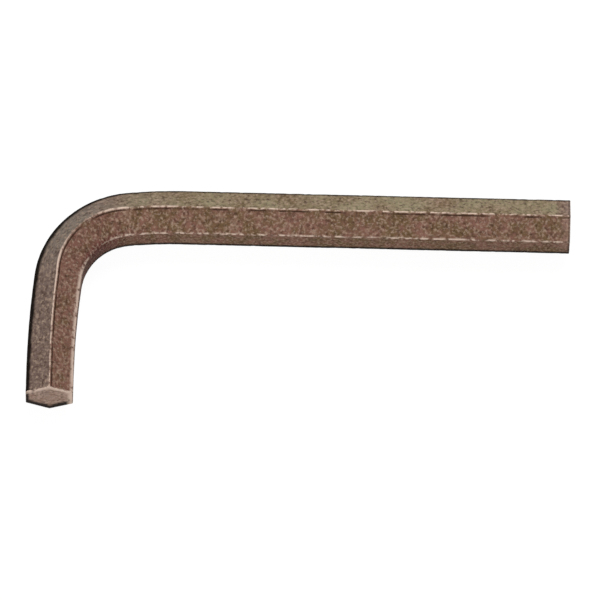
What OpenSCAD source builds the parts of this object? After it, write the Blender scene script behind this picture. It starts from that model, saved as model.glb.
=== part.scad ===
// Hex key, lying flat as it comes to rest.
//
// One hexagonal bar, cold bent to a right angle. Two flats of the bar face the
// inside and the outside of the bend, so the key rests on its lowest long edge.
// The bend isn't one plain arc: each arm bows a little next to the tight part, and
// in the tight part the top and bottom edges creep outwards while the two inner
// edges are pressed blunt. So the bar is a skin over sections that follow it from
// tip to tip.
//
// X runs along the long arm to its tip, the short arm points to -Y, and Z is up.
// The origin is on the surface it lies on, under the middle of its outline.

/* [Bar] */
// Width of the hexagonal bar across its flats
across_flats = 12; // [8:0.5:15]
// Radius of the bar's rounded long edges
edge_r = 0.4; // [0.2:0.1:1.5]

/* [Arms] */
// Overall length of the long arm, measured from the outer flat of the short arm
long_arm = 137; // [100:1:240]
// Overall length of the short arm, measured from the outer flat of the long arm
short_arm = 57; // [54:1:95]

/* [Bend] */
// Radius of the tight part of the bend, on the centre line of the bar
bend_r = 20.2; // [14:0.1:23]
// Length of the long arm that bows, next to the tight part
long_bow = 14.2; // [4:0.1:24]
// Angle that the long arm bows through, in degrees
long_bow_turn = 6.9; // [1:0.1:12]
// Length of the short arm that bows, next to the tight part
short_bow = 25.6; // [4:0.1:28]
// Angle that the short arm bows through, in degrees
short_bow_turn = 5.8; // [1:0.1:10]
// How far the top and bottom edges creep outwards in the middle of the bend
edge_creep = 1.1; // [0:0.1:1.5]
// Radius that the two inner edges are pressed to in the middle of the bend
pressed_r = 2; // [1:0.1:2.5]

/* [Tips] */
// Width of the broken edge round each end face
tip_bevel = 0.3; // [0.1:0.1:1]

/* [Hidden] */

SIDES = 6;
SIDE_ANGLE = 360 / SIDES;
RIGHT_ANGLE = 90;
// Steps that each rounded long edge, each bow and the tight part are drawn in
EDGE_STEPS = 4;
BOW_STEPS = 5;
TIGHT_STEPS = 30;

half_flats = across_flats / 2;
bar_half_height = (half_flats - edge_r) / cos(SIDE_ANGLE / 2) + edge_r;
tip_scale = 1 - tip_bevel / half_flats;

// The direction across the bar, towards the outside of the bend, where the bar has
// turned through an angle. The long arm is at 0 and the short arm at a right angle
function outwards(turn) = [-sin(turn), cos(turn)];

// Radii of the two bows, on the centre line of the bar
long_bow_r = long_bow / long_bow_turn * 180 / PI;
short_bow_r = short_bow / short_bow_turn * 180 / PI;

// The tight part starts and ends where the bar has turned through these angles
tight_start = long_bow_turn;
tight_end = RIGHT_ANGLE - short_bow_turn;

// Steps from the long bow's centre to the tight part's, and on to the short bow's.
// Where two arcs meet they share a tangent, so both centres lie in line with it
step_to_tight = (long_bow_r - bend_r) * outwards(tight_start);
step_to_short = (bend_r - short_bow_r) * outwards(tight_end);

// The long bow starts level with the long arm, and the short bow ends in line with
// the short arm, which together set the three centres
long_bow_centre = [
    half_flats + short_bow_r - step_to_tight[0] - step_to_short[0],
    -half_flats - long_bow_r
];
tight_centre = long_bow_centre + step_to_tight;
short_bow_centre = tight_centre + step_to_short;

// One rounded long edge in section: an arc about a point that lies its radius in
// from both of the flats beside it
function rounded_edge(middle, r) = [
    for (step = [0:EDGE_STEPS])
        let (facing = middle + (step / EDGE_STEPS - 0.5) * SIDE_ANGLE)
            (half_flats - r) / cos(SIDE_ANGLE / 2) * [cos(middle), sin(middle)]
                + r * [cos(facing), sin(facing)]
];

// The section at a strain from 0, in an arm, to 1, in the middle of the bend. Each
// point's first value is its distance outwards and its second its height
function bar_section(strain) = [
    for (corner = [0:SIDES - 1])
        let (
            middle = (corner + 0.5) * SIDE_ANGLE,
            is_inner = cos(middle) < -0.5,
            r = is_inner ? edge_r + (pressed_r - edge_r) * strain : edge_r
        )
            for (p = rounded_edge(middle, r))
                p + [edge_creep * strain * (1 - abs(p[0]) / half_flats), 0]
];

// A section set square across the bar, about a point of the bar's centre line
function ring(section, at, turn) = [
    for (p = section) [each at + p[0] * outwards(turn), p[1]]
];

// Sections along an arc of the bar's centre line, after the one that it starts from
function arc_rings(centre, radius, start, end, steps) = [
    for (step = [1:steps])
        let (turn = start + (end - start) * step / steps)
            ring(bar_section(sin(2 * turn)), centre + radius * outwards(turn), turn)
];

// All the sections, from the tip of the long arm to the tip of the short one
rings = [
    ring(tip_scale * bar_section(0), [long_arm, -half_flats], 0),
    ring(bar_section(0), [long_arm - tip_bevel, -half_flats], 0),
    ring(bar_section(0), [long_bow_centre[0], -half_flats], 0),
    each arc_rings(long_bow_centre, long_bow_r, 0, tight_start, BOW_STEPS),
    each arc_rings(tight_centre, bend_r, tight_start, tight_end, TIGHT_STEPS),
    each arc_rings(short_bow_centre, short_bow_r, tight_end, RIGHT_ANGLE, BOW_STEPS),
    ring(bar_section(0), [half_flats, tip_bevel - short_arm], RIGHT_ANGLE),
    ring(tip_scale * bar_section(0), [half_flats, -short_arm], RIGHT_ANGLE)
];

// A closed skin over a row of sections that all have the same count of points
module skin(sections) {
    count = len(sections[0]);
    last = len(sections) - 1;
    polyhedron(
        points = [for (section = sections, p = section) p],
        faces = [
            [for (j = [0:count - 1]) j],
            [for (j = [count - 1:-1:0]) last * count + j],
            for (i = [0:last - 1], j = [0:count - 1])
                let (k = (j + 1) % count)
                    [i * count + j, (i + 1) * count + j, (i + 1) * count + k, i * count + k]
        ]
    );
}

// The finished key, lifted to rest on its lowest long edge
module hex_key() {
    color("#7a6655")
        translate([-long_arm / 2, short_arm / 2, bar_half_height])
            skin(rings);
}

hex_key();
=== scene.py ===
"""Hex key of browned tool steel, lying flat on a white sweep.

The key is made as a real one is: a straight length of hexagonal bar is drawn and its
surface is grained and nicked while it is straight, and then every point of it is
carried round the bend. Lengths are in metres, and MM turns millimetres into them. A
point of the straight bar, called stock here, has its distance from the tip of the
short arm as X, and its distances outwards and up from the bar's middle as Y and Z.
"""
import logging
import math
from collections.abc import Iterable
from dataclasses import dataclass, field, fields
from enum import Enum

import bmesh
import bpy
from mathutils import Matrix, Vector, noise


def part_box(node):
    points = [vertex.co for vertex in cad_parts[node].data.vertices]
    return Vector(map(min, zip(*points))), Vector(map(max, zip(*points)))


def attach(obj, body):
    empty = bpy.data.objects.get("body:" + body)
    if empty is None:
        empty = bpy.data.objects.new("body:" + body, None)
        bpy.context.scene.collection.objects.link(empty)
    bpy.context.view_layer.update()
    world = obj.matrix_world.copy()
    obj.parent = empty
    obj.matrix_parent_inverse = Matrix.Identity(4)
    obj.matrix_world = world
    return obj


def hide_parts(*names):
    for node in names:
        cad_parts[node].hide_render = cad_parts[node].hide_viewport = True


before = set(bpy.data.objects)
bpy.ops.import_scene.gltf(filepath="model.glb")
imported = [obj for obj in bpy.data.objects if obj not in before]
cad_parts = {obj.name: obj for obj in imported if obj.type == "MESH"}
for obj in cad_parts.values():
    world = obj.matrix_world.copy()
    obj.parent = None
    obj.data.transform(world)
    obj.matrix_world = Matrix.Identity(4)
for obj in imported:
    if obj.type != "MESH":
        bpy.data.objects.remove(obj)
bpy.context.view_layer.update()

MM = 0.001
SIDES = 6
SIDE_ANGLE = math.tau / SIDES
RIGHT_ANGLE = math.pi / 2
NODE = "hex_key"
BODY = "root"

# Profile of a bevel that follows an arc
ROUND = 0.5

# Inputs and output of a Mix node that is set to colours
MIX_FACTOR = 0
MIX_BELOW = 6
MIX_ABOVE = 7
MIX_RESULT = 2

log = logging.getLogger(NODE)


def linear(colour: str) -> tuple[float, float, float, float]:
    """Turn an sRGB hex colour into linear values.

    Args:
        colour: A hash sign and six hex digits.

    Returns:
        Linear red, green and blue, and an alpha of 1.
    """
    channels = [int(colour[i:i + 2], 16) / 255 for i in (1, 3, 5)]
    red, green, blue = (
        c / 12.92 if c <= 0.04045 else ((c + 0.055) / 1.055) ** 2.4 for c in channels
    )
    return red, green, blue, 1.0


def blank_tree(owner: bpy.types.Material | bpy.types.World) -> bpy.types.NodeTree:
    """Give a material or a surround an empty node tree.

    Args:
        owner: The material or the surround.

    Returns:
        Its node tree.
    """
    owner.use_nodes = True
    owner.node_tree.nodes.clear()
    return owner.node_tree


def add_node(tree: bpy.types.NodeTree, kind: str, inputs: dict | None = None,
             **settings: object) -> bpy.types.Node:
    """Add a shader node, with its settings, its values and its links.

    Args:
        tree: Node tree that takes the node.
        kind: The type of node.
        inputs: A value, or the socket to link, for each input by its name or number.
        settings: Properties of the node itself.

    Returns:
        The new node.
    """
    node = tree.nodes.new(kind)
    for name, value in settings.items():
        setattr(node, name, value)
    for key, value in (inputs or {}).items():
        if isinstance(value, bpy.types.NodeSocket):
            tree.links.new(value, node.inputs[key])
        else:
            node.inputs[key].default_value = value
    return node


def rays_that_see_white(tree: bpy.types.NodeTree) -> bpy.types.NodeSocket:
    """Pick the rays that meet the background as plain white.

    Args:
        tree: Node tree of the floor or of the surround.

    Returns:
        A value that is 1 for a ray from the camera and for a mirrored or refracted one.
    """
    rays = add_node(tree, "ShaderNodeLightPath")
    seen = rays.outputs["Is Camera Ray"]
    for kind in ("Is Glossy Ray", "Is Transmission Ray"):
        either = add_node(
            tree, "ShaderNodeMath", {0: seen, 1: rays.outputs[kind]}, operation="MAXIMUM"
        )
        seen = either.outputs[0]
    return seen


def put_in_scene(name: str, data: bpy.types.ID) -> bpy.types.Object:
    """Make an object of a mesh, a lamp or a camera.

    Args:
        name: Name of the object.
        data: What the object holds.

    Returns:
        The object, linked to the scene.
    """
    placed = bpy.data.objects.new(name, data)
    bpy.context.scene.collection.objects.link(placed)
    return placed


def dressed(name: str, shape: bmesh.types.BMesh, finish: bpy.types.Material) -> bpy.types.Object:
    """Make an object of a finished shape.

    Args:
        name: Name of the object and of its mesh.
        shape: The shape, which is freed.
        finish: Material that covers it.

    Returns:
        The object, linked to the scene.
    """
    mesh = bpy.data.meshes.new(name)
    shape.to_mesh(mesh)
    shape.free()
    mesh.materials.append(finish)
    return put_in_scene(name, mesh)


class Flat(Enum):
    """The bar's six flats, by the direction that each faces in the section, in degrees."""

    OUTER = 0
    UPPER_OUTER = 60
    UPPER_INNER = 120
    INNER = 180
    LOWER_INNER = 240
    LOWER_OUTER = 300


class LongEdge(Enum):
    """The bar's six long edges, by the bearing of each in the section, in degrees."""

    UPPER_OUTER = 30
    TOP = 90
    UPPER_INNER = 150
    LOWER_INNER = 210
    BOTTOM = 270
    LOWER_OUTER = 330


def in_section(side: Flat | LongEdge) -> Vector:
    """Direction of a flat or a long edge from the middle of the bar, outwards and up."""
    angle = math.radians(side.value)
    return Vector((0, math.cos(angle), math.sin(angle)))


def strain_at(turned: float) -> float:
    """How hard the bar is bent, from 0 in both arms to 1 in the middle of the bend."""
    return math.sin(math.pi * turned)


@dataclass(frozen=True)
class Stretch:
    """A length of the bar's centre line, straight or turning evenly to the right.

    Attributes:
        length: Length along the centre line.
        turn: Angle that it turns through, in radians.
    """

    length: float
    turn: float = 0.0

    def reach(self, travelled: float) -> tuple[Vector, float]:
        """Follow the stretch from the origin, setting out along +X.

        Args:
            travelled: Distance along the centre line.

        Returns:
            The point that is reached, and the angle turned on the way.
        """
        if not self.turn:
            return Vector((travelled, 0)), 0.0
        radius = self.length / self.turn
        turned = travelled / radius
        return radius * Vector((math.sin(turned), math.cos(turned) - 1)), turned


@dataclass(frozen=True)
class BarPath:
    """The bar's centre line, from the tip of the short arm to the tip of the long one.

    Attributes:
        start: Where the short arm's tip lies. The bar sets out along +Y.
        stretches: What the centre line is made of, in order.
    """

    start: Vector
    stretches: tuple[Stretch, ...]

    @property
    def length(self) -> float:
        """Length of the whole centre line."""
        return sum(stretch.length for stretch in self.stretches)

    def follow(self, along: float) -> tuple[Vector, float]:
        """Find a point of the centre line.

        Args:
            along: Distance from the tip of the short arm.

        Returns:
            The point, and the direction of the bar there as an angle from +X.
        """
        point = self.start.copy()
        heading = RIGHT_ANGLE
        left = along
        for number, stretch in enumerate(self.stretches):
            is_last = number == len(self.stretches) - 1
            travelled = left if is_last else min(left, stretch.length)
            step, turned = stretch.reach(travelled)
            point += Matrix.Rotation(heading, 2) @ step
            heading -= turned
            left -= travelled
            if left <= 0:
                break
        return point, heading

    def place(self, along: float, outward: float, up: float) -> Vector:
        """Carry a point of the straight bar to its place on the bent one.

        Args:
            along: Distance from the tip of the short arm.
            outward: Distance from the centre line, towards the outside of the bend.
            up: Height above the surface that the key lies on.

        Returns:
            The point on the bent bar.
        """
        point, heading = self.follow(along)
        point += outward * Vector((-math.sin(heading), math.cos(heading)))
        return Vector((*point, up))

    def turned(self, along: float) -> float:
        """How far the bar has turned, from 0 in the short arm to 1 in the long one."""
        heading = self.follow(along)[1]
        return min(1.0, max(0.0, 1 - heading / RIGHT_ANGLE))


@dataclass(frozen=True)
class BarSection:
    """The hexagonal section of the bar, with two flats square to the outward direction.

    Attributes:
        half_flats: Distance from the middle of the bar to each flat.
    """

    half_flats: float

    @property
    def corner_distance(self) -> float:
        """Distance from the middle of the bar to where two flats would meet."""
        return self.half_flats / math.cos(SIDE_ANGLE / 2)

    def reach(self, bearing: float, edge_radius: float) -> float:
        """Find how far the surface is from the middle of the bar.

        Args:
            bearing: Direction in the section, from outwards towards up, in radians.
            edge_radius: Radius of the nearest long edge.

        Returns:
            The distance to the surface.
        """
        off_edge = abs(bearing % SIDE_ANGLE - SIDE_ANGLE / 2)
        middle = (self.half_flats - edge_radius) / math.cos(SIDE_ANGLE / 2)
        rounding_ends = math.atan2(
            edge_radius * math.sin(SIDE_ANGLE / 2),
            middle + edge_radius * math.cos(SIDE_ANGLE / 2),
        )
        if off_edge >= rounding_ends:
            return self.half_flats / math.cos(SIDE_ANGLE / 2 - off_edge)
        aside = middle * math.sin(off_edge)
        return middle * math.cos(off_edge) + math.sqrt(edge_radius ** 2 - aside ** 2)

    def to_edge(self, stock: Vector, edges: Iterable[LongEdge]) -> float:
        """Find how far a point is from the nearest of some long edges.

        Args:
            stock: Point of the straight bar.
            edges: The long edges.

        Returns:
            The distance across the section.
        """
        across = Vector((0, stock.y, stock.z))
        return min((across - self.corner_distance * in_section(edge)).length for edge in edges)

    def to_flat(self, stock: Vector, flats: Iterable[Flat]) -> float:
        """Distance across the section from a point to the nearest of some flats."""
        return min(self.half_flats - stock.dot(in_section(flat)) for flat in flats)


@dataclass(frozen=True)
class Relief:
    """How the surface of the bar departs from true, always inwards.

    Attributes:
        grain_size: Size of the grain of the oxide.
        grain_depth: Depth of the grain.
        wave_size: Length of the shallow waves that drawing the bar leaves.
        wave_depth: Depth of the waves.
        nick_spacing: Rough spacing of the nicks along the long edges.
        nick_depth: Depth that a nick of full strength would have.
        nick_width: Distance from the edge within which a nick fades out.
        nick_threshold: Noise below which there is no nick.
        nick_offset: Step in the noise that keeps the nicks apart from the grain.
    """

    grain_size: float = 0.9 * MM
    grain_depth: float = 0.035 * MM
    wave_size: float = 7 * MM
    wave_depth: float = 0.05 * MM
    nick_spacing: float = 1.3 * MM
    nick_depth: float = 0.16 * MM
    nick_width: float = 0.8 * MM
    nick_threshold: float = 0.12
    nick_offset: tuple[float, float, float] = (0, 17, 5)

    def depth(self, stock: Vector, edge_distance: float) -> float:
        """Find how deep the surface lies below true.

        Args:
            stock: Point of the straight bar.
            edge_distance: Distance from the point to the nearest long edge.

        Returns:
            The depth, from 0 upwards.
        """
        grain = 0.5 + 0.5 * noise.noise(stock / self.grain_size)
        wave = 0.5 + 0.5 * noise.noise(stock / self.wave_size)
        roughness = noise.noise(stock / self.nick_spacing + Vector(self.nick_offset))
        nick = max(0.0, roughness - self.nick_threshold)
        at_edge = max(0.0, 1 - edge_distance / self.nick_width)
        return (
            self.grain_depth * grain
            + self.wave_depth * wave
            + self.nick_depth * nick * at_edge
        )


@dataclass(frozen=True)
class EdgeBand:
    """A band of pale wear and painted highlight, or of painted shade, along some long edges.

    The material draws each kind of band up to one distance from its edge. A wider
    band has its distances divided, and where a band fades out, they are added to.

    Attributes:
        edges: Long edges that the band follows.
        short_arm: How wide it is on the short arm, as a multiple of the material's band.
        long_arm: How wide it is on the long arm.
        bend: How much wider it is in the middle of the bend.
        short_arm_fade: Distance that is added on the short arm.
        long_arm_fade: Distance that is added on the long arm.
        bend_fade: Distance that is added in the middle of the bend.
        short_arm_power: How closely the short arm's fade keeps to it.
        long_arm_power: How closely the long arm's fade keeps to it.
        bend_power: How closely the bend's fade keeps to its middle.
    """

    edges: tuple[LongEdge, ...]
    short_arm: float
    long_arm: float
    bend: float = 0.0
    short_arm_fade: float = 0.0
    long_arm_fade: float = 0.0
    bend_fade: float = 0.0
    short_arm_power: int = 8
    long_arm_power: int = 3
    bend_power: int = 4

    def distance(self, section: BarSection, stock: Vector, turned: float) -> float:
        """Find how far a point is from the band's edges, as the material takes it.

        Args:
            section: The bar's section.
            stock: Point of the straight bar.
            turned: How far the bar has turned there, from 0 to 1.

        Returns:
            The distance.
        """
        strain = strain_at(turned)
        width = self.short_arm * (1 - turned) + self.long_arm * turned + self.bend * strain
        fade = (
            self.short_arm_fade * (1 - turned) ** self.short_arm_power
            + self.long_arm_fade * turned ** self.long_arm_power
            + self.bend_fade * strain ** self.bend_power
        )
        return section.to_edge(stock, self.edges) / width + fade


@dataclass(frozen=True)
class Place:
    """What the mesh tells the material about each point, by the names of its attributes.

    Attributes:
        stock: The point of the straight bar.
        turned: How far the bar has turned, from 0 in the short arm to 1 in the long one.
        olive_lean: Lean of the back to olive and painted light, from 0 in the short arm to 1 in
            the long.
        ridge: Distance from the top edge.
        rub_and_highlight: Distance from the nearest pale edge, worn and painted with highlight.
        shade_distance: Distance from the nearest edge with painted shade.
        tip: How bare the steel is worn, up to 1 on the ground end faces.
    """

    stock: bpy.types.NodeSocket
    turned: bpy.types.NodeSocket
    olive_lean: bpy.types.NodeSocket
    ridge: bpy.types.NodeSocket
    rub_and_highlight: bpy.types.NodeSocket
    shade_distance: bpy.types.NodeSocket
    tip: bpy.types.NodeSocket

    @classmethod
    def read(cls, tree: bpy.types.NodeTree) -> "Place":
        """Read the mesh's attributes in a material.

        Args:
            tree: The material's nodes.

        Returns:
            The place on the key.
        """
        sockets = {}
        for entry in fields(cls):
            attribute = add_node(tree, "ShaderNodeAttribute", attribute_name=entry.name)
            output = "Vector" if entry.name == "stock" else "Fac"
            sockets[entry.name] = attribute.outputs[output]
        return cls(**sockets)


# Attributes of the mesh that hold one number for each point
MARKS = tuple(entry.name for entry in fields(Place) if entry.name != "stock")

# A colour, and how much of it is laid over the colours below
Layer = tuple[str, bpy.types.NodeSocket]


@dataclass(frozen=True)
class Mottle:
    """An uneven pattern of spots in the finish.

    The noise that it is drawn with runs from 0 to 1. Up to low the pattern shows
    least, from high on it shows most, and in between it shades evenly.

    Attributes:
        size: Rough size of the coarsest spots.
        low: Noise up to which the pattern shows least.
        high: Noise from which it shows most.
        least: The least that it shows.
        most: The most that it shows.
        lean: What is added to the noise where the pattern leans to, or taken off it.
        detail: How many finer layers of spots there are.
        roughness: How strong the finer layers are.
    """

    size: float
    low: float
    high: float
    least: float = 0.0
    most: float = 1.0
    lean: float = 0.0
    detail: float = 3.0
    roughness: float = 0.6

    def lay(self, tree: bpy.types.NodeTree, place: Place,
            leaning_to: bpy.types.NodeSocket | None = None) -> bpy.types.NodeSocket:
        """Lay the pattern over the key.

        Args:
            tree: The material's nodes.
            place: Place on the key.
            leaning_to: A value from 0 to 1, for where the pattern leans to.

        Returns:
            How much the pattern shows.
        """
        spots = add_node(
            tree,
            "ShaderNodeTexNoise",
            {
                "Vector": place.stock,
                "Scale": 1 / self.size,
                "Detail": self.detail,
                "Roughness": self.roughness,
            },
        )
        level = spots.outputs["Fac"]
        if leaning_to is not None:
            leaning = add_node(
                tree,
                "ShaderNodeMath",
                {0: leaning_to, 1: self.lean, 2: level},
                operation="MULTIPLY_ADD",
            )
            level = leaning.outputs[0]
        shown = add_node(
            tree,
            "ShaderNodeMapRange",
            {
                "Value": level,
                "From Min": self.low,
                "From Max": self.high,
                "To Min": self.least,
                "To Max": self.most,
            },
        )
        return shown.outputs[0]


@dataclass(frozen=True)
class BrownedSteel:
    """Hardened tool steel with a brown oxide finish, left matte from the furnace.

    The oxide hides most of the metal, so it is hardly metallic and mirrors little. It
    is brown with mauve spots. The flat that faces up and outwards is painted lighter
    and greyer than the rest: olive along the long arm, ashen on the short one and grey
    in the middle of the bend. This is partly casts of the oxide and partly painted light
    from the lamp behind. The inside of the bend is plum and dark, partly a plum cast and
    partly painted shade in the hollow of the bend. Nearly black painted shade runs
    along the lower and outer edges and round the lower rims, and a thin line of
    painted shade runs beside the top edge. The upper edges are pale, partly from
    wear and partly painted highlight. The grain of a real oxide is too fine to show,
    so its specks are drawn nearly a millimetre across.

    Attributes:
        flat_blend: Half the range of cosines over which one flat gives way to the next.
        plum_spread: Angle in the section that the plum reaches past the inner flat.
        stretched_and_lit_share: How much grey, partly painted light, the bend has on its outside.
        pressed_shade_share: How much plum and painted shade it has on the inner flat.
        squeezed_shade_share: How much plum and painted shade it has on the upper inner flat.
        shade_line_offset: Distance of the painted shade line's middle from the top edge.
        shade_line_half_width: Half the painted shade line's width.
        rub_highlight_full: Distance from a pale edge up to which its wear and painted highlight
            are whole.
        rub_highlight_end: Distance at which they end.
        painted_shade_full: Distance from an edge with painted shade up to which the shade is
            whole.
        painted_shade_end: Distance at which it ends.
        painted_shade_most: How much of the oxide the painted shade hides.
        painted_shade_rag: Spots that the painted shade's rim wanders by.
        painted_shade_raggedness: How far it wanders.
        finest_grain: The grain that is too fine for the mesh.
        bump_depth: Depth of the finest grain.
        bump_strength: How much of that depth shows.
    """

    name: str = "browned_tool_steel"
    brown: str = "#725a40"
    # Olive and ashen are partly casts and partly painted light on the upper outer flat
    olive: str = "#998f72"
    ashen: str = "#7c685f"
    # Grey on the outside of the bend, partly painted light
    stretched_and_lit: str = "#98968a"
    # Plum inside the bend, partly painted shade in its hollow
    plum: str = "#683938"
    mauve: str = "#8d6559"
    dark_speck: str = "#3f2a20"
    light_speck: str = "#bfa591"
    # Nearly black painted shade for the lower and outer edges and rims
    painted_shade: str = "#0d0805"
    # Pale edges: partly wear, partly painted highlight
    rub_and_highlight: str = "#e2c9b8"
    ground: str = "#b4998c"
    metallic: float = 0.1
    roughness: float = 0.7
    specular: float = 0.05
    mauve_spots: Mottle = Mottle(3.5 * MM, low=0.3, high=0.5, most=0.8, lean=-0.1)
    olive_patches: Mottle = Mottle(7 * MM, low=0.6, high=1.0, lean=0.38)
    dark_specks: Mottle = Mottle(0.95 * MM, low=0.46, high=0.7, most=0.75)
    light_specks: Mottle = Mottle(0.75 * MM, low=0.48, high=0.72, most=0.75)
    tip_clouds: Mottle = Mottle(1.6 * MM, low=0.35, high=0.6, least=0.4, roughness=0.5)
    # Broken runs of the painted shade line beside the top edge
    shade_line_runs: Mottle = Mottle(
        5 * MM, low=0.28, high=0.43, most=0.9, lean=-0.12, detail=4.0, roughness=0.5
    )
    # Dashes of the pale edges' wear and painted highlight
    rub_highlight_dashes: Mottle = Mottle(
        1.5 * MM, low=0.33, high=0.47, least=0.05, most=0.95, lean=-0.1, roughness=0.5
    )
    flat_blend: float = 0.03
    plum_spread: float = math.radians(9)
    stretched_and_lit_share: float = 0.4
    pressed_shade_share: float = 0.75
    squeezed_shade_share: float = 0.25
    shade_line_offset: float = 0.65 * MM
    shade_line_half_width: float = 0.2 * MM
    rub_highlight_full: float = 0.15 * MM
    rub_highlight_end: float = 0.45 * MM
    painted_shade_full: float = 0.35 * MM
    painted_shade_end: float = 0.85 * MM
    painted_shade_most: float = 0.97
    painted_shade_rag: Mottle = Mottle(2 * MM, low=0.0, high=1.0, roughness=0.5)
    painted_shade_raggedness: float = 0.6 * MM
    finest_grain: Mottle = Mottle(0.6 * MM, low=0.0, high=1.0)
    bump_depth: float = 0.08 * MM
    bump_strength: float = 0.5

    def material(self) -> bpy.types.Material:
        """Build the material's nodes.

        Returns:
            The finished material.
        """
        made = bpy.data.materials.new(self.name)
        tree = blank_tree(made)
        place = Place.read(tree)
        layers = [
            *self.casts(tree, place),
            *self.bend_casts(tree, place),
            self.ground_tips(tree, place),
            (self.dark_speck, self.dark_specks.lay(tree, place)),
            (self.light_speck, self.light_specks.lay(tree, place)),
            self.shade_line(tree, place),
            self.painted_shade_edges(tree, place),
            self.rubbed_and_highlit_edges(tree, place),
        ]
        colour = linear(self.brown)
        for shade, amount in layers:
            laid = add_node(
                tree,
                "ShaderNodeMix",
                {MIX_FACTOR: amount, MIX_BELOW: colour, MIX_ABOVE: linear(shade)},
                data_type="RGBA",
            )
            colour = laid.outputs[MIX_RESULT]
        shader = add_node(
            tree,
            "ShaderNodeBsdfPrincipled",
            {
                "Base Color": colour,
                "Metallic": self.metallic,
                "Roughness": self.roughness,
                "Specular IOR Level": self.specular,
                "Normal": self.grain_bump(tree, place),
            },
        )
        add_node(tree, "ShaderNodeOutputMaterial", {"Surface": shader.outputs["BSDF"]})
        return made

    def casts(self, tree: bpy.types.NodeTree, place: Place) -> list[Layer]:
        """Give the oxide its casts along the arms, and paint light on one flat.

        It is mauve in spots all over, a little more so on the short arm. The flat that
        faces up and outwards is painted lighter, olive on the back of the long arm and
        ashen on the outside of the short one, partly casts and partly painted light.

        Args:
            tree: The material's nodes.
            place: Place on the key.

        Returns:
            The layers of colour.
        """
        outer = self.on_flat(tree, place, Flat.UPPER_OUTER)
        back = add_node(tree, "ShaderNodeMath", {0: outer, 1: place.olive_lean}, operation="MULTIPLY")
        outside = add_node(
            tree, "ShaderNodeMath", {0: outer, 1: back.outputs[0]}, operation="SUBTRACT"
        )
        # The upper outer flat is painted lighter: partly casts, partly painted light
        return [
            (self.mauve, self.mauve_spots.lay(tree, place, place.turned)),
            (self.olive, self.olive_patches.lay(tree, place, back.outputs[0])),
            (self.ashen, outside.outputs[0]),
        ]

    def bend_casts(self, tree: bpy.types.NodeTree, place: Place) -> list[Layer]:
        """Give the oxide its casts in the bend, most so in its middle.

        It is grey on the outside, partly painted light, and plum and dark on the inside
        and a little way up, partly painted shade in the hollow of the bend.

        Args:
            tree: The material's nodes.
            place: Place on the key.

        Returns:
            The layers of colour.
        """
        half_turns = add_node(
            tree, "ShaderNodeMath", {0: place.turned, 1: math.pi}, operation="MULTIPLY"
        )
        strain = add_node(tree, "ShaderNodeMath", {0: half_turns.outputs[0]}, operation="SINE")
        layers = []
        # Grey outside is partly painted light; plum inside is partly painted shade
        for shade, flat, spread, share in (
            (self.stretched_and_lit, Flat.UPPER_OUTER, 0.0, self.stretched_and_lit_share),
            (self.plum, Flat.INNER, self.plum_spread, self.pressed_shade_share),
            (self.plum, Flat.UPPER_INNER, 0.0, self.squeezed_shade_share),
        ):
            strained = add_node(
                tree,
                "ShaderNodeMath",
                {0: self.on_flat(tree, place, flat, spread), 1: strain.outputs[0]},
                operation="MULTIPLY",
            )
            amount = add_node(
                tree, "ShaderNodeMath", {0: strained.outputs[0], 1: share}, operation="MULTIPLY"
            )
            layers.append((shade, amount.outputs[0]))
        return layers

    def on_flat(self, tree: bpy.types.NodeTree, place: Place, flat: Flat,
                spread: float = 0.0) -> bpy.types.NodeSocket:
        """Tell where the surface belongs to one of the flats.

        Args:
            tree: The material's nodes.
            place: Place on the key.
            flat: The flat that is asked for.
            spread: Angle in the section that the answer reaches past the flat's edges.

        Returns:
            A value that is 1 on the flat and 0 past its long edges.
        """
        across = add_node(
            tree, "ShaderNodeVectorMath", {0: place.stock, 1: (0, 1, 1)}, operation="MULTIPLY"
        )
        direction = add_node(
            tree, "ShaderNodeVectorMath", {0: across.outputs["Vector"]}, operation="NORMALIZE"
        )
        aim = add_node(
            tree,
            "ShaderNodeVectorMath",
            {0: direction.outputs["Vector"], 1: tuple(in_section(flat))},
            operation="DOT_PRODUCT",
        )
        edge_cosine = math.cos(SIDE_ANGLE / 2 + spread)
        share = add_node(
            tree,
            "ShaderNodeMapRange",
            {
                "Value": aim.outputs["Value"],
                "From Min": edge_cosine - self.flat_blend,
                "From Max": edge_cosine + self.flat_blend,
            },
        )
        return share.outputs[0]

    def ground_tips(self, tree: bpy.types.NodeTree, place: Place) -> Layer:
        """Lighten the end faces, which were ground, and the handled end beside one.

        Args:
            tree: The material's nodes.
            place: Place on the key.

        Returns:
            The layer of colour.
        """
        clouds = self.tip_clouds.lay(tree, place)
        amount = add_node(tree, "ShaderNodeMath", {0: clouds, 1: place.tip}, operation="MULTIPLY")
        return self.ground, amount.outputs[0]

    def shade_line(self, tree: bpy.types.NodeTree, place: Place) -> Layer:
        """Paint a thin line of shade beside the top edge, on the inner side.

        Args:
            tree: The material's nodes.
            place: Place on the key.

        Returns:
            The layer of colour.
        """
        beside = add_node(
            tree,
            "ShaderNodeMath",
            {0: place.ridge, 1: self.shade_line_offset, 2: self.shade_line_half_width},
            operation="COMPARE",
        )
        whole = add_node(
            tree,
            "ShaderNodeMath",
            {0: beside.outputs[0], 1: self.on_flat(tree, place, Flat.UPPER_INNER)},
            operation="MULTIPLY",
        )
        runs = self.shade_line_runs.lay(tree, place, place.turned)
        amount = add_node(
            tree, "ShaderNodeMath", {0: whole.outputs[0], 1: runs}, operation="MULTIPLY"
        )
        # The dark speck colour serves here as painted shade
        return self.dark_speck, amount.outputs[0]

    def painted_shade_edges(self, tree: bpy.types.NodeTree, place: Place) -> Layer:
        """Paint shade along the lower and outer edges, nearly black, with a ragged rim.

        Args:
            tree: The material's nodes.
            place: Place on the key.

        Returns:
            The layer of colour.
        """
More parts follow.
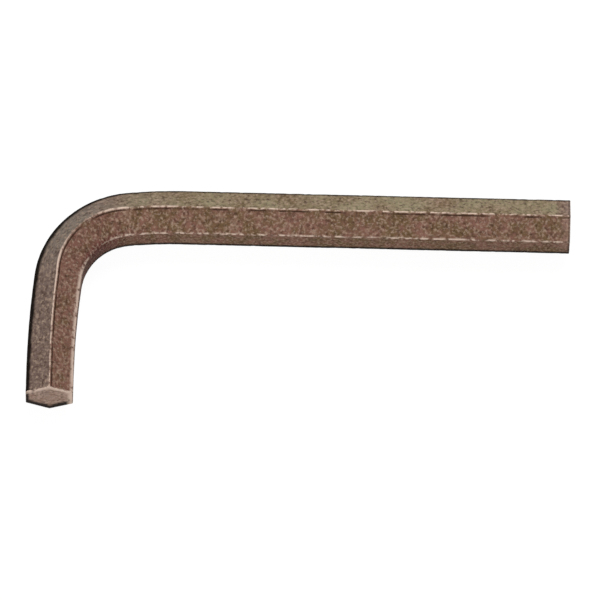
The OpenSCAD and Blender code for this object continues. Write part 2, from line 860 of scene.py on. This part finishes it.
        # Painted shade, nearly black, with a ragged rim
        ragged = self.painted_shade_rag.lay(tree, place)
        reach = add_node(
            tree,
            "ShaderNodeMath",
            {0: ragged, 1: -self.painted_shade_raggedness, 2: place.shade_distance},
            operation="MULTIPLY_ADD",
        )
        amount = add_node(
            tree,
            "ShaderNodeMapRange",
            {
                "Value": reach.outputs[0],
                "From Min": self.painted_shade_end,
                "From Max": self.painted_shade_full,
                "To Max": self.painted_shade_most,
            },
        )
        return self.painted_shade, amount.outputs[0]

    def rubbed_and_highlit_edges(self, tree: bpy.types.NodeTree, place: Place) -> Layer:
        """Lighten the upper edges with wear and painted highlight, in dashes a couple of
        millimetres long.

        Args:
            tree: The material's nodes.
            place: Place on the key.

        Returns:
            The layer of colour.
        """
        # Pale upper edges, partly wear and partly painted highlight
        near = add_node(
            tree,
            "ShaderNodeMapRange",
            {"Value": place.rub_and_highlight, "From Min": self.rub_highlight_end, "From Max": self.rub_highlight_full},
        )
        dashes = self.rub_highlight_dashes.lay(tree, place, place.turned)
        amount = add_node(
            tree, "ShaderNodeMath", {0: near.outputs[0], 1: dashes}, operation="MULTIPLY"
        )
        return self.rub_and_highlight, amount.outputs[0]

    def grain_bump(self, tree: bpy.types.NodeTree, place: Place) -> bpy.types.NodeSocket:
        """Roughen the surface more finely than its mesh does.

        Args:
            tree: The material's nodes.
            place: Place on the key.

        Returns:
            The bumped normal.
        """
        bump = add_node(
            tree,
            "ShaderNodeBump",
            {
                "Height": self.finest_grain.lay(tree, place),
                "Strength": self.bump_strength,
                "Distance": self.bump_depth,
            },
        )
        return bump.outputs["Normal"]


@dataclass
class HexKey:
    """The key itself: one hexagonal bar with a compound bend.

    Attributes:
        edge_radius: Radius of the long edges.
        pressed_radius: Radius that the two inner edges have in the middle of the bend.
        edge_creep: How far the top and bottom edges creep outwards there.
        bend_radius: Radius of the tight part of the bend, on the centre line.
        long_bow: Slight bow of the long arm next to the tight part.
        short_bow: Slight bow of the short arm next to the tight part.
        rim_bevel: Width of the broken edge round each end face.
        mesh_step: Spacing of the mesh along the bar.
        edge_segments: Faces round each long edge.
        flat_segments: Faces across each flat.
        cap_rings: Rings of faces on each end face.
        rim_segments: Faces across each broken rim.
        rub_highlight_bands: Where the edges are pale, partly from wear and partly painted
            highlight.
        It is wide along the inside of the short arm, as painted light thrown back by
        the white floor, and thin in the middle of the bend.
        painted_shade: Where shade is painted on, nearly black. It is wide along the lower edges,
        most so in the bend, thin along the back of the long arm, and missing inside
        the short one.
        rim_rub_highlight: How wide the pale wear and painted highlight are on the rims of the end
            faces.
        rim_painted_shade: How wide the painted shade is there.
        tip_painted_shade_offset: Distance that is added to the painted shade on the long arm's
            rim.
        handled_length: Length of the long arm's end that is handled.
        handled_fade: Length over which that fades out.
        handled_share: How bare the handled end is.
        ground_gain: How fast a broken rim turns as bare as the end face.
        end_facing: How squarely a point faces along the bar to be worn as an end face.
        olive_lean_power: How closely the olive cast and its painted light keep to the long arm.
        rest_height: Height of the bar's middle above the surface that it lies on.
        section: The bar's section.
        path: The bar's centre line.
    """

    name: str = "hex_key_bar"
    finish: BrownedSteel = BrownedSteel()
    relief: Relief = Relief()
    edge_radius: float = 0.4 * MM
    pressed_radius: float = 2 * MM
    edge_creep: float = 1.1 * MM
    bend_radius: float = 20.2 * MM
    long_bow: Stretch = Stretch(14.2 * MM, math.radians(6.9))
    short_bow: Stretch = Stretch(25.6 * MM, math.radians(5.8))
    rim_bevel: float = 0.3 * MM
    mesh_step: float = 0.4 * MM
    edge_segments: int = 6
    flat_segments: int = 16
    cap_rings: int = 14
    rim_segments: int = 3
    # Where the pale wear and painted highlight run along the bar
    rub_highlight_bands: tuple[EdgeBand, ...] = (
        EdgeBand((LongEdge.TOP,), short_arm=0.55, long_arm=0.75, bend=1.0, bend_fade=0.32 * MM),
        EdgeBand((LongEdge.UPPER_INNER,), short_arm=2.6, long_arm=1.0, bend_fade=0.32 * MM),
    )
    # Where shade is painted along the bar
    painted_shade: tuple[EdgeBand, ...] = (
        EdgeBand(
            (LongEdge.UPPER_OUTER,),
            short_arm=1.3,
            long_arm=1.3,
            bend=0.4,
            long_arm_fade=0.45 * MM,
        ),
        EdgeBand((LongEdge.BOTTOM, LongEdge.LOWER_OUTER), short_arm=1.6, long_arm=1.6),
        EdgeBand(
            (LongEdge.LOWER_INNER,),
            short_arm=1.4,
            long_arm=1.4,
            bend=0.6,
            short_arm_fade=1.8 * MM,
        ),
    )
    rim_rub_highlight: float = 4.0
    rim_painted_shade: float = 2.4
    tip_painted_shade_offset: float = 0.45 * MM
    handled_length: float = 3.9 * MM
    handled_fade: float = 3 * MM
    handled_share: float = 0.35
    ground_gain: float = 1.5
    end_facing: float = 0.5
    olive_lean_power: int = 3
    rest_height: float = field(init=False)
    section: BarSection = field(init=False)
    path: BarPath = field(init=False)

    def __post_init__(self) -> None:
        """Take the bar's section and its route from the frame."""
        low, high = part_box(NODE)
        span = high - low
        self.rest_height = span.z / 2
        half_flats = self.edge_radius + (
            (self.rest_height - self.edge_radius) * math.cos(SIDE_ANGLE / 2)
        )
        self.section = BarSection(half_flats)
        tight_turn = RIGHT_ANGLE - self.short_bow.turn - self.long_bow.turn
        tight = Stretch(self.bend_radius * tight_turn, tight_turn)
        bend = BarPath(Vector((0, 0)), (self.short_bow, tight, self.long_bow))
        bend_span = bend.follow(bend.length)[0]
        short_run = Stretch(span.y - half_flats - bend_span.y)
        long_run = Stretch(span.x - half_flats - bend_span.x)
        self.path = BarPath(
            Vector((low.x + half_flats, low.y)),
            (short_run, self.short_bow, tight, self.long_bow, long_run),
        )

    def build(self) -> bpy.types.Object:
        """Make the key and dress it.

        Returns:
            The finished object, with its place in its mesh.
        """
        bar = self.straight_bar()
        self.close_ends(bar)
        self.wear_and_bend(bar)
        key = dressed(self.name, bar, self.finish.material())
        key.data.shade_smooth()
        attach(key, BODY)
        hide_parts(NODE)
        return key

    def straight_bar(self) -> bmesh.types.BMesh:
        """Draw the bar straight along +X, with Y outwards and Z up.

        Returns:
            The open-ended bar.
        """
        bar = bmesh.new()
        bmesh.ops.create_circle(bar, segments=SIDES, radius=self.section.corner_distance)
        across_bar = Matrix(((0, 0, 1), (1, 0, 0), (0, 1, 0)))
        bmesh.ops.rotate(bar, verts=bar.verts, matrix=across_bar)
        bmesh.ops.bevel(
            bar,
            geom=bar.verts[:],
            offset=self.edge_radius * math.tan(SIDE_ANGLE / 2),
            segments=self.edge_segments,
            profile=ROUND,
            affect="VERTICES",
            material=-1,
        )
        flats = sorted(bar.edges, key=lambda e: e.calc_length())[-SIDES:]
        bmesh.ops.subdivide_edges(bar, edges=flats, cuts=self.flat_segments - 1)
        made = bmesh.ops.extrude_edge_only(bar, edges=bar.edges[:])["geom"]
        far_end = [v for v in made if isinstance(v, bmesh.types.BMVert)]
        bmesh.ops.translate(bar, verts=far_end, vec=(self.path.length, 0, 0))
        long_lines = [e for e in bar.edges if e.calc_length() > self.path.length / 2]
        cuts = round(self.path.length / self.mesh_step) - 1
        bmesh.ops.subdivide_edges(bar, edges=long_lines, cuts=cuts, use_grid_fill=True)
        return bar

    def close_ends(self, bar: bmesh.types.BMesh) -> None:
        """Close both ends of the bar and break their rims.

        Args:
            bar: The open-ended bar, which is changed.
        """
        rims = []
        for end in (0, self.path.length):
            ring = [
                e for e in bar.edges
                if e.is_boundary and abs(e.verts[0].co.x - end) < self.mesh_step / 2
            ]
            rims += ring
            for number in range(self.cap_rings, 1, -1):
                made = bmesh.ops.extrude_edge_only(bar, edges=ring)["geom"]
                inner = {v for v in made if isinstance(v, bmesh.types.BMVert)}
                shrink = (number - 1) / number
                bmesh.ops.scale(bar, verts=list(inner), vec=(1, shrink, shrink))
                ring = [
                    e for e in made
                    if isinstance(e, bmesh.types.BMEdge) and inner.issuperset(e.verts)
                ]
            cap = bmesh.ops.contextual_create(bar, geom=ring)["faces"]
            bmesh.ops.poke(bar, faces=cap)
        bmesh.ops.recalc_face_normals(bar, faces=bar.faces)
        bmesh.ops.bevel(
            bar,
            geom=rims,
            offset=self.rim_bevel,
            segments=self.rim_segments,
            profile=ROUND,
            affect="EDGES",
            material=-1,
        )

    def wear_and_bend(self, bar: bmesh.types.BMesh) -> None:
        """Wear each point of the straight bar, mark it, and carry it round the bend.

        Args:
            bar: The closed straight bar, which is changed.
        """
        stock_layer = bar.verts.layers.float_vector.new("stock")
        mark_layers = {name: bar.verts.layers.float.new(name) for name in MARKS}
        bar.normal_update()
        normals = [v.normal.copy() for v in bar.verts]
        for vertex, normal in zip(bar.verts, normals):
            stock = vertex.co.copy()
            turned = self.path.turned(stock.x)
            vertex[stock_layer] = stock
            for name, value in self.marks(stock, normal, turned).items():
                vertex[mark_layers[name]] = value
            edge_distance = self.section.to_edge(stock, LongEdge)
            worn = stock - normal * self.relief.depth(stock, edge_distance)
            strain = strain_at(turned)
            across = self.pressed(worn, strain)
            creep = self.edge_creep * strain * (1 - abs(across.y) / self.section.half_flats)
            vertex.co = self.path.place(across.x, across.y + creep, across.z + self.rest_height)
        bar.normal_update()

    def marks(self, stock: Vector, normal: Vector, turned: float) -> dict[str, float]:
        """Find what the mesh tells the material about a point, besides its place.

        Args:
            stock: Point of the straight bar.
            normal: Direction that its surface faces.
            turned: How far the bar has turned there, from 0 to 1.

        Returns:
            The value of each mark, by its name.
        """
        from_tip = self.path.length - stock.x
        handled = min(1.0, max(0.0, (self.handled_length - from_tip) / self.handled_fade))
        facing_end = abs(normal.x)
        is_end = facing_end > self.end_facing
        rub_and_highlight, shade_distance = self.rim_rub_and_shade(stock) if is_end else self.edge_rub_and_shade(stock, turned)
        return {
            "turned": turned,
            "olive_lean": turned ** self.olive_lean_power * (1 - handled),
            "ridge": self.section.to_edge(stock, (LongEdge.TOP,)),
            "rub_and_highlight": rub_and_highlight,
            "shade_distance": shade_distance,
            "tip": max(min(1.0, facing_end * self.ground_gain), self.handled_share * handled),
        }

    def edge_rub_and_shade(self, stock: Vector, turned: float) -> tuple[float, float]:
        """Find how far a point of the sides is from pale edges and from painted shade.

        Args:
            stock: Point of the straight bar.
            turned: How far the bar has turned there, from 0 to 1.

        Returns:
            The distance from the nearest pale edge, and from the nearest edge with painted shade.
        """
        rub_and_highlight = min(band.distance(self.section, stock, turned) for band in self.rub_highlight_bands)
        along_bar = min(band.distance(self.section, stock, turned) for band in self.painted_shade)
        # The long arm's rim is painted with shade too
        round_tip = self.path.length - stock.x + self.tip_painted_shade_offset
        return rub_and_highlight, min(along_bar, round_tip)

    def rim_rub_and_shade(self, stock: Vector) -> tuple[float, float]:
        """Find how far a point of an end face is from pale rims and from painted shade.

        Args:
            stock: Point of the straight bar.

        Returns:
            The distance from the upper and inner rims, and from the lower and outer ones.
        """
        section = self.section
        upper = section.to_flat(stock, (Flat.UPPER_OUTER, Flat.UPPER_INNER, Flat.INNER))
        lower = section.to_flat(stock, (Flat.LOWER_OUTER, Flat.LOWER_INNER))
        outer = section.to_flat(stock, (Flat.OUTER,))
        return upper / self.rim_rub_highlight, min(lower / self.rim_painted_shade, outer)

    def pressed(self, point: Vector, strain: float) -> Vector:
        """Press the two inner long edges blunt where the bar is strained.

        Args:
            point: Point of the straight bar.
            strain: How hard the bar is bent there, from 0 to 1.

        Returns:
            The point after pressing.
        """
        bearing = math.atan2(point.z, point.y)
        is_inner = abs(bearing) > RIGHT_ANGLE + SIDE_ANGLE / 2
        if not is_inner or not strain:
            return point
        radius = self.edge_radius + (self.pressed_radius - self.edge_radius) * strain
        ratio = self.section.reach(bearing, radius) / self.section.reach(bearing, self.edge_radius)
        return Vector((point.x, point.y * ratio, point.z * ratio))


@dataclass(frozen=True)
class WhiteSweep:
    """The matt white paper that the key lies on.

    It looks plain white and keeps a faint shadow, and it sends little light back up.

    Attributes:
        width: Width of the sheet.
        white: How white it looks, where 1 is white.
        shade: Share of the light that it sends back.
    """

    name: str = "white_sweep"
    width: float = 6.0
    white: float = 0.96
    shade: float = 0.1

    def build(self) -> bpy.types.Object:
        """Make the sheet.

        Returns:
            The sheet.
        """
        sheet = bmesh.new()
        bmesh.ops.create_grid(sheet, x_segments=1, y_segments=1, size=self.width / 2)
        floor = dressed(self.name, sheet, self.material())
        return floor

    def material(self) -> bpy.types.Material:
        """Build the paper's nodes.

        Returns:
            The finished material.
        """
        made = bpy.data.materials.new("white_paper")
        tree = blank_tree(made)
        grey = (self.shade, self.shade, self.shade, 1)
        paper = add_node(tree, "ShaderNodeBsdfDiffuse", {"Color": grey})
        glow = add_node(tree, "ShaderNodeEmission", {"Strength": self.white})
        lit = add_node(tree, "ShaderNodeAddShader", {0: paper.outputs[0], 1: glow.outputs[0]})
        surface = add_node(
            tree,
            "ShaderNodeMixShader",
            {0: rays_that_see_white(tree), 1: paper.outputs[0], 2: lit.outputs[0]},
        )
        add_node(tree, "ShaderNodeOutputMaterial", {"Surface": surface.outputs[0]})
        return made


@dataclass(frozen=True)
class SoftLamp:
    """A square soft box that points at the middle of the key.

    Attributes:
        azimuth: Where it hangs, in degrees from +X towards +Y.
        elevation: How high it hangs, in degrees above the floor.
        distance: Distance from the key.
        size: Width of the soft box.
        level: Its light on the key, where 1 makes a white card that faces it look white.
    """

    name: str
    azimuth: float
    elevation: float
    distance: float
    size: float
    level: float

    def build(self) -> bpy.types.Object:
        """Hang the lamp.

        Returns:
            The lamp.
        """
        lamp = bpy.data.lights.new(self.name, "AREA")
        lamp.size = self.size
        lamp.energy = self.level * (math.pi * self.distance) ** 2
        azimuth = math.radians(self.azimuth)
        elevation = math.radians(self.elevation)
        away = Vector((
            math.cos(azimuth) * math.cos(elevation),
            math.sin(azimuth) * math.cos(elevation),
            math.sin(elevation),
        ))
        placed = put_in_scene(self.name, lamp)
        placed.location = self.distance * away
        placed.rotation_euler = away.to_track_quat("Z", "Y").to_euler()
        return placed


@dataclass(frozen=True)
class Studio:
    """Plain soft light: a lamp above and behind, a low one in front and a dim surround.

    Attributes:
        surround: Light that the surround gives.
        backdrop: How white the surround looks, where 1 is white.
        lamps: The lamps.
    """

    surround: float = 0.25
    backdrop: float = 1.0
    lamps: tuple[SoftLamp, ...] = (
        SoftLamp("back_lamp", azimuth=80, elevation=55, distance=0.8, size=0.5, level=0.72),
        SoftLamp("front_lamp", azimuth=-112, elevation=18, distance=0.8, size=0.4, level=0.59),
    )

    def build(self) -> None:
        """Hang the lamps and set the surround."""
        for lamp in self.lamps:
            lamp.build()
        world = bpy.data.worlds.new("surround")
        tree = blank_tree(world)
        dim = add_node(tree, "ShaderNodeBackground", {"Strength": self.surround})
        white = add_node(tree, "ShaderNodeBackground", {"Strength": self.backdrop})
        seen = add_node(
            tree,
            "ShaderNodeMixShader",
            {0: rays_that_see_white(tree), 1: dim.outputs[0], 2: white.outputs[0]},
        )
        add_node(tree, "ShaderNodeOutputWorld", {"Surface": seen.outputs[0]})
        bpy.context.scene.world = world


@dataclass(frozen=True)
class PhotoCamera:
    """The photograph's view: from far off, well above the key, with a slight roll.

    Attributes:
        target: Point that the camera looks at.
        azimuth: Turn of the camera about the vertical, in degrees, from looking along +Y.
        elevation: How far above the floor it stands, in degrees.
        roll: Turn about its own line of sight, in degrees.
        distance: Distance from the target.
        lens: Focal length in millimetres.
        sensor: Width of the sensor in millimetres.
        nearest: Distance from which it sees.
        farthest: Distance up to which it sees.
    """

    target: tuple[float, float, float] = (0.26 * MM, 0.3 * MM, 6.87 * MM)
    azimuth: float = -0.55
    elevation: float = 65.43
    roll: float = 1.86
    distance: float = 2.88
    lens: float = 681.5
    sensor: float = 36
    nearest: float = 0.1
    farthest: float = 20

    def build(self) -> bpy.types.Object:
        """Set up the camera and make it the scene's.

        Returns:
            The camera.
        """
        data = bpy.data.cameras.new("photo_camera")
        data.lens = self.lens
        data.sensor_width = self.sensor
        data.clip_start = self.nearest
        data.clip_end = self.farthest
        turned = (
            Matrix.Rotation(math.radians(self.azimuth), 3, "Z")
            @ Matrix.Rotation(RIGHT_ANGLE - math.radians(self.elevation), 3, "X")
            @ Matrix.Rotation(math.radians(self.roll), 3, "Z")
        )
        camera = put_in_scene("photo_camera", data)
        camera.rotation_euler = turned.to_euler()
        camera.location = Vector(self.target) + turned @ Vector((0, 0, self.distance))
        bpy.context.scene.camera = camera
        return camera


def main() -> None:
    """Build the scene, piece by piece."""
    logging.basicConfig(level=logging.INFO, format="%(name)s: %(message)s")
    bpy.context.scene.view_settings.view_transform = "Standard"
    camera = PhotoCamera().build()
    log.info("%s at %.2f m", camera.name, camera.location.length)
    Studio().build()
    floor = WhiteSweep().build()
    log.info("%s laid", floor.name)
    key = HexKey().build()
    log.info("%s: %d faces", key.name, len(key.data.polygons))


if __name__ == "__main__":
    main()
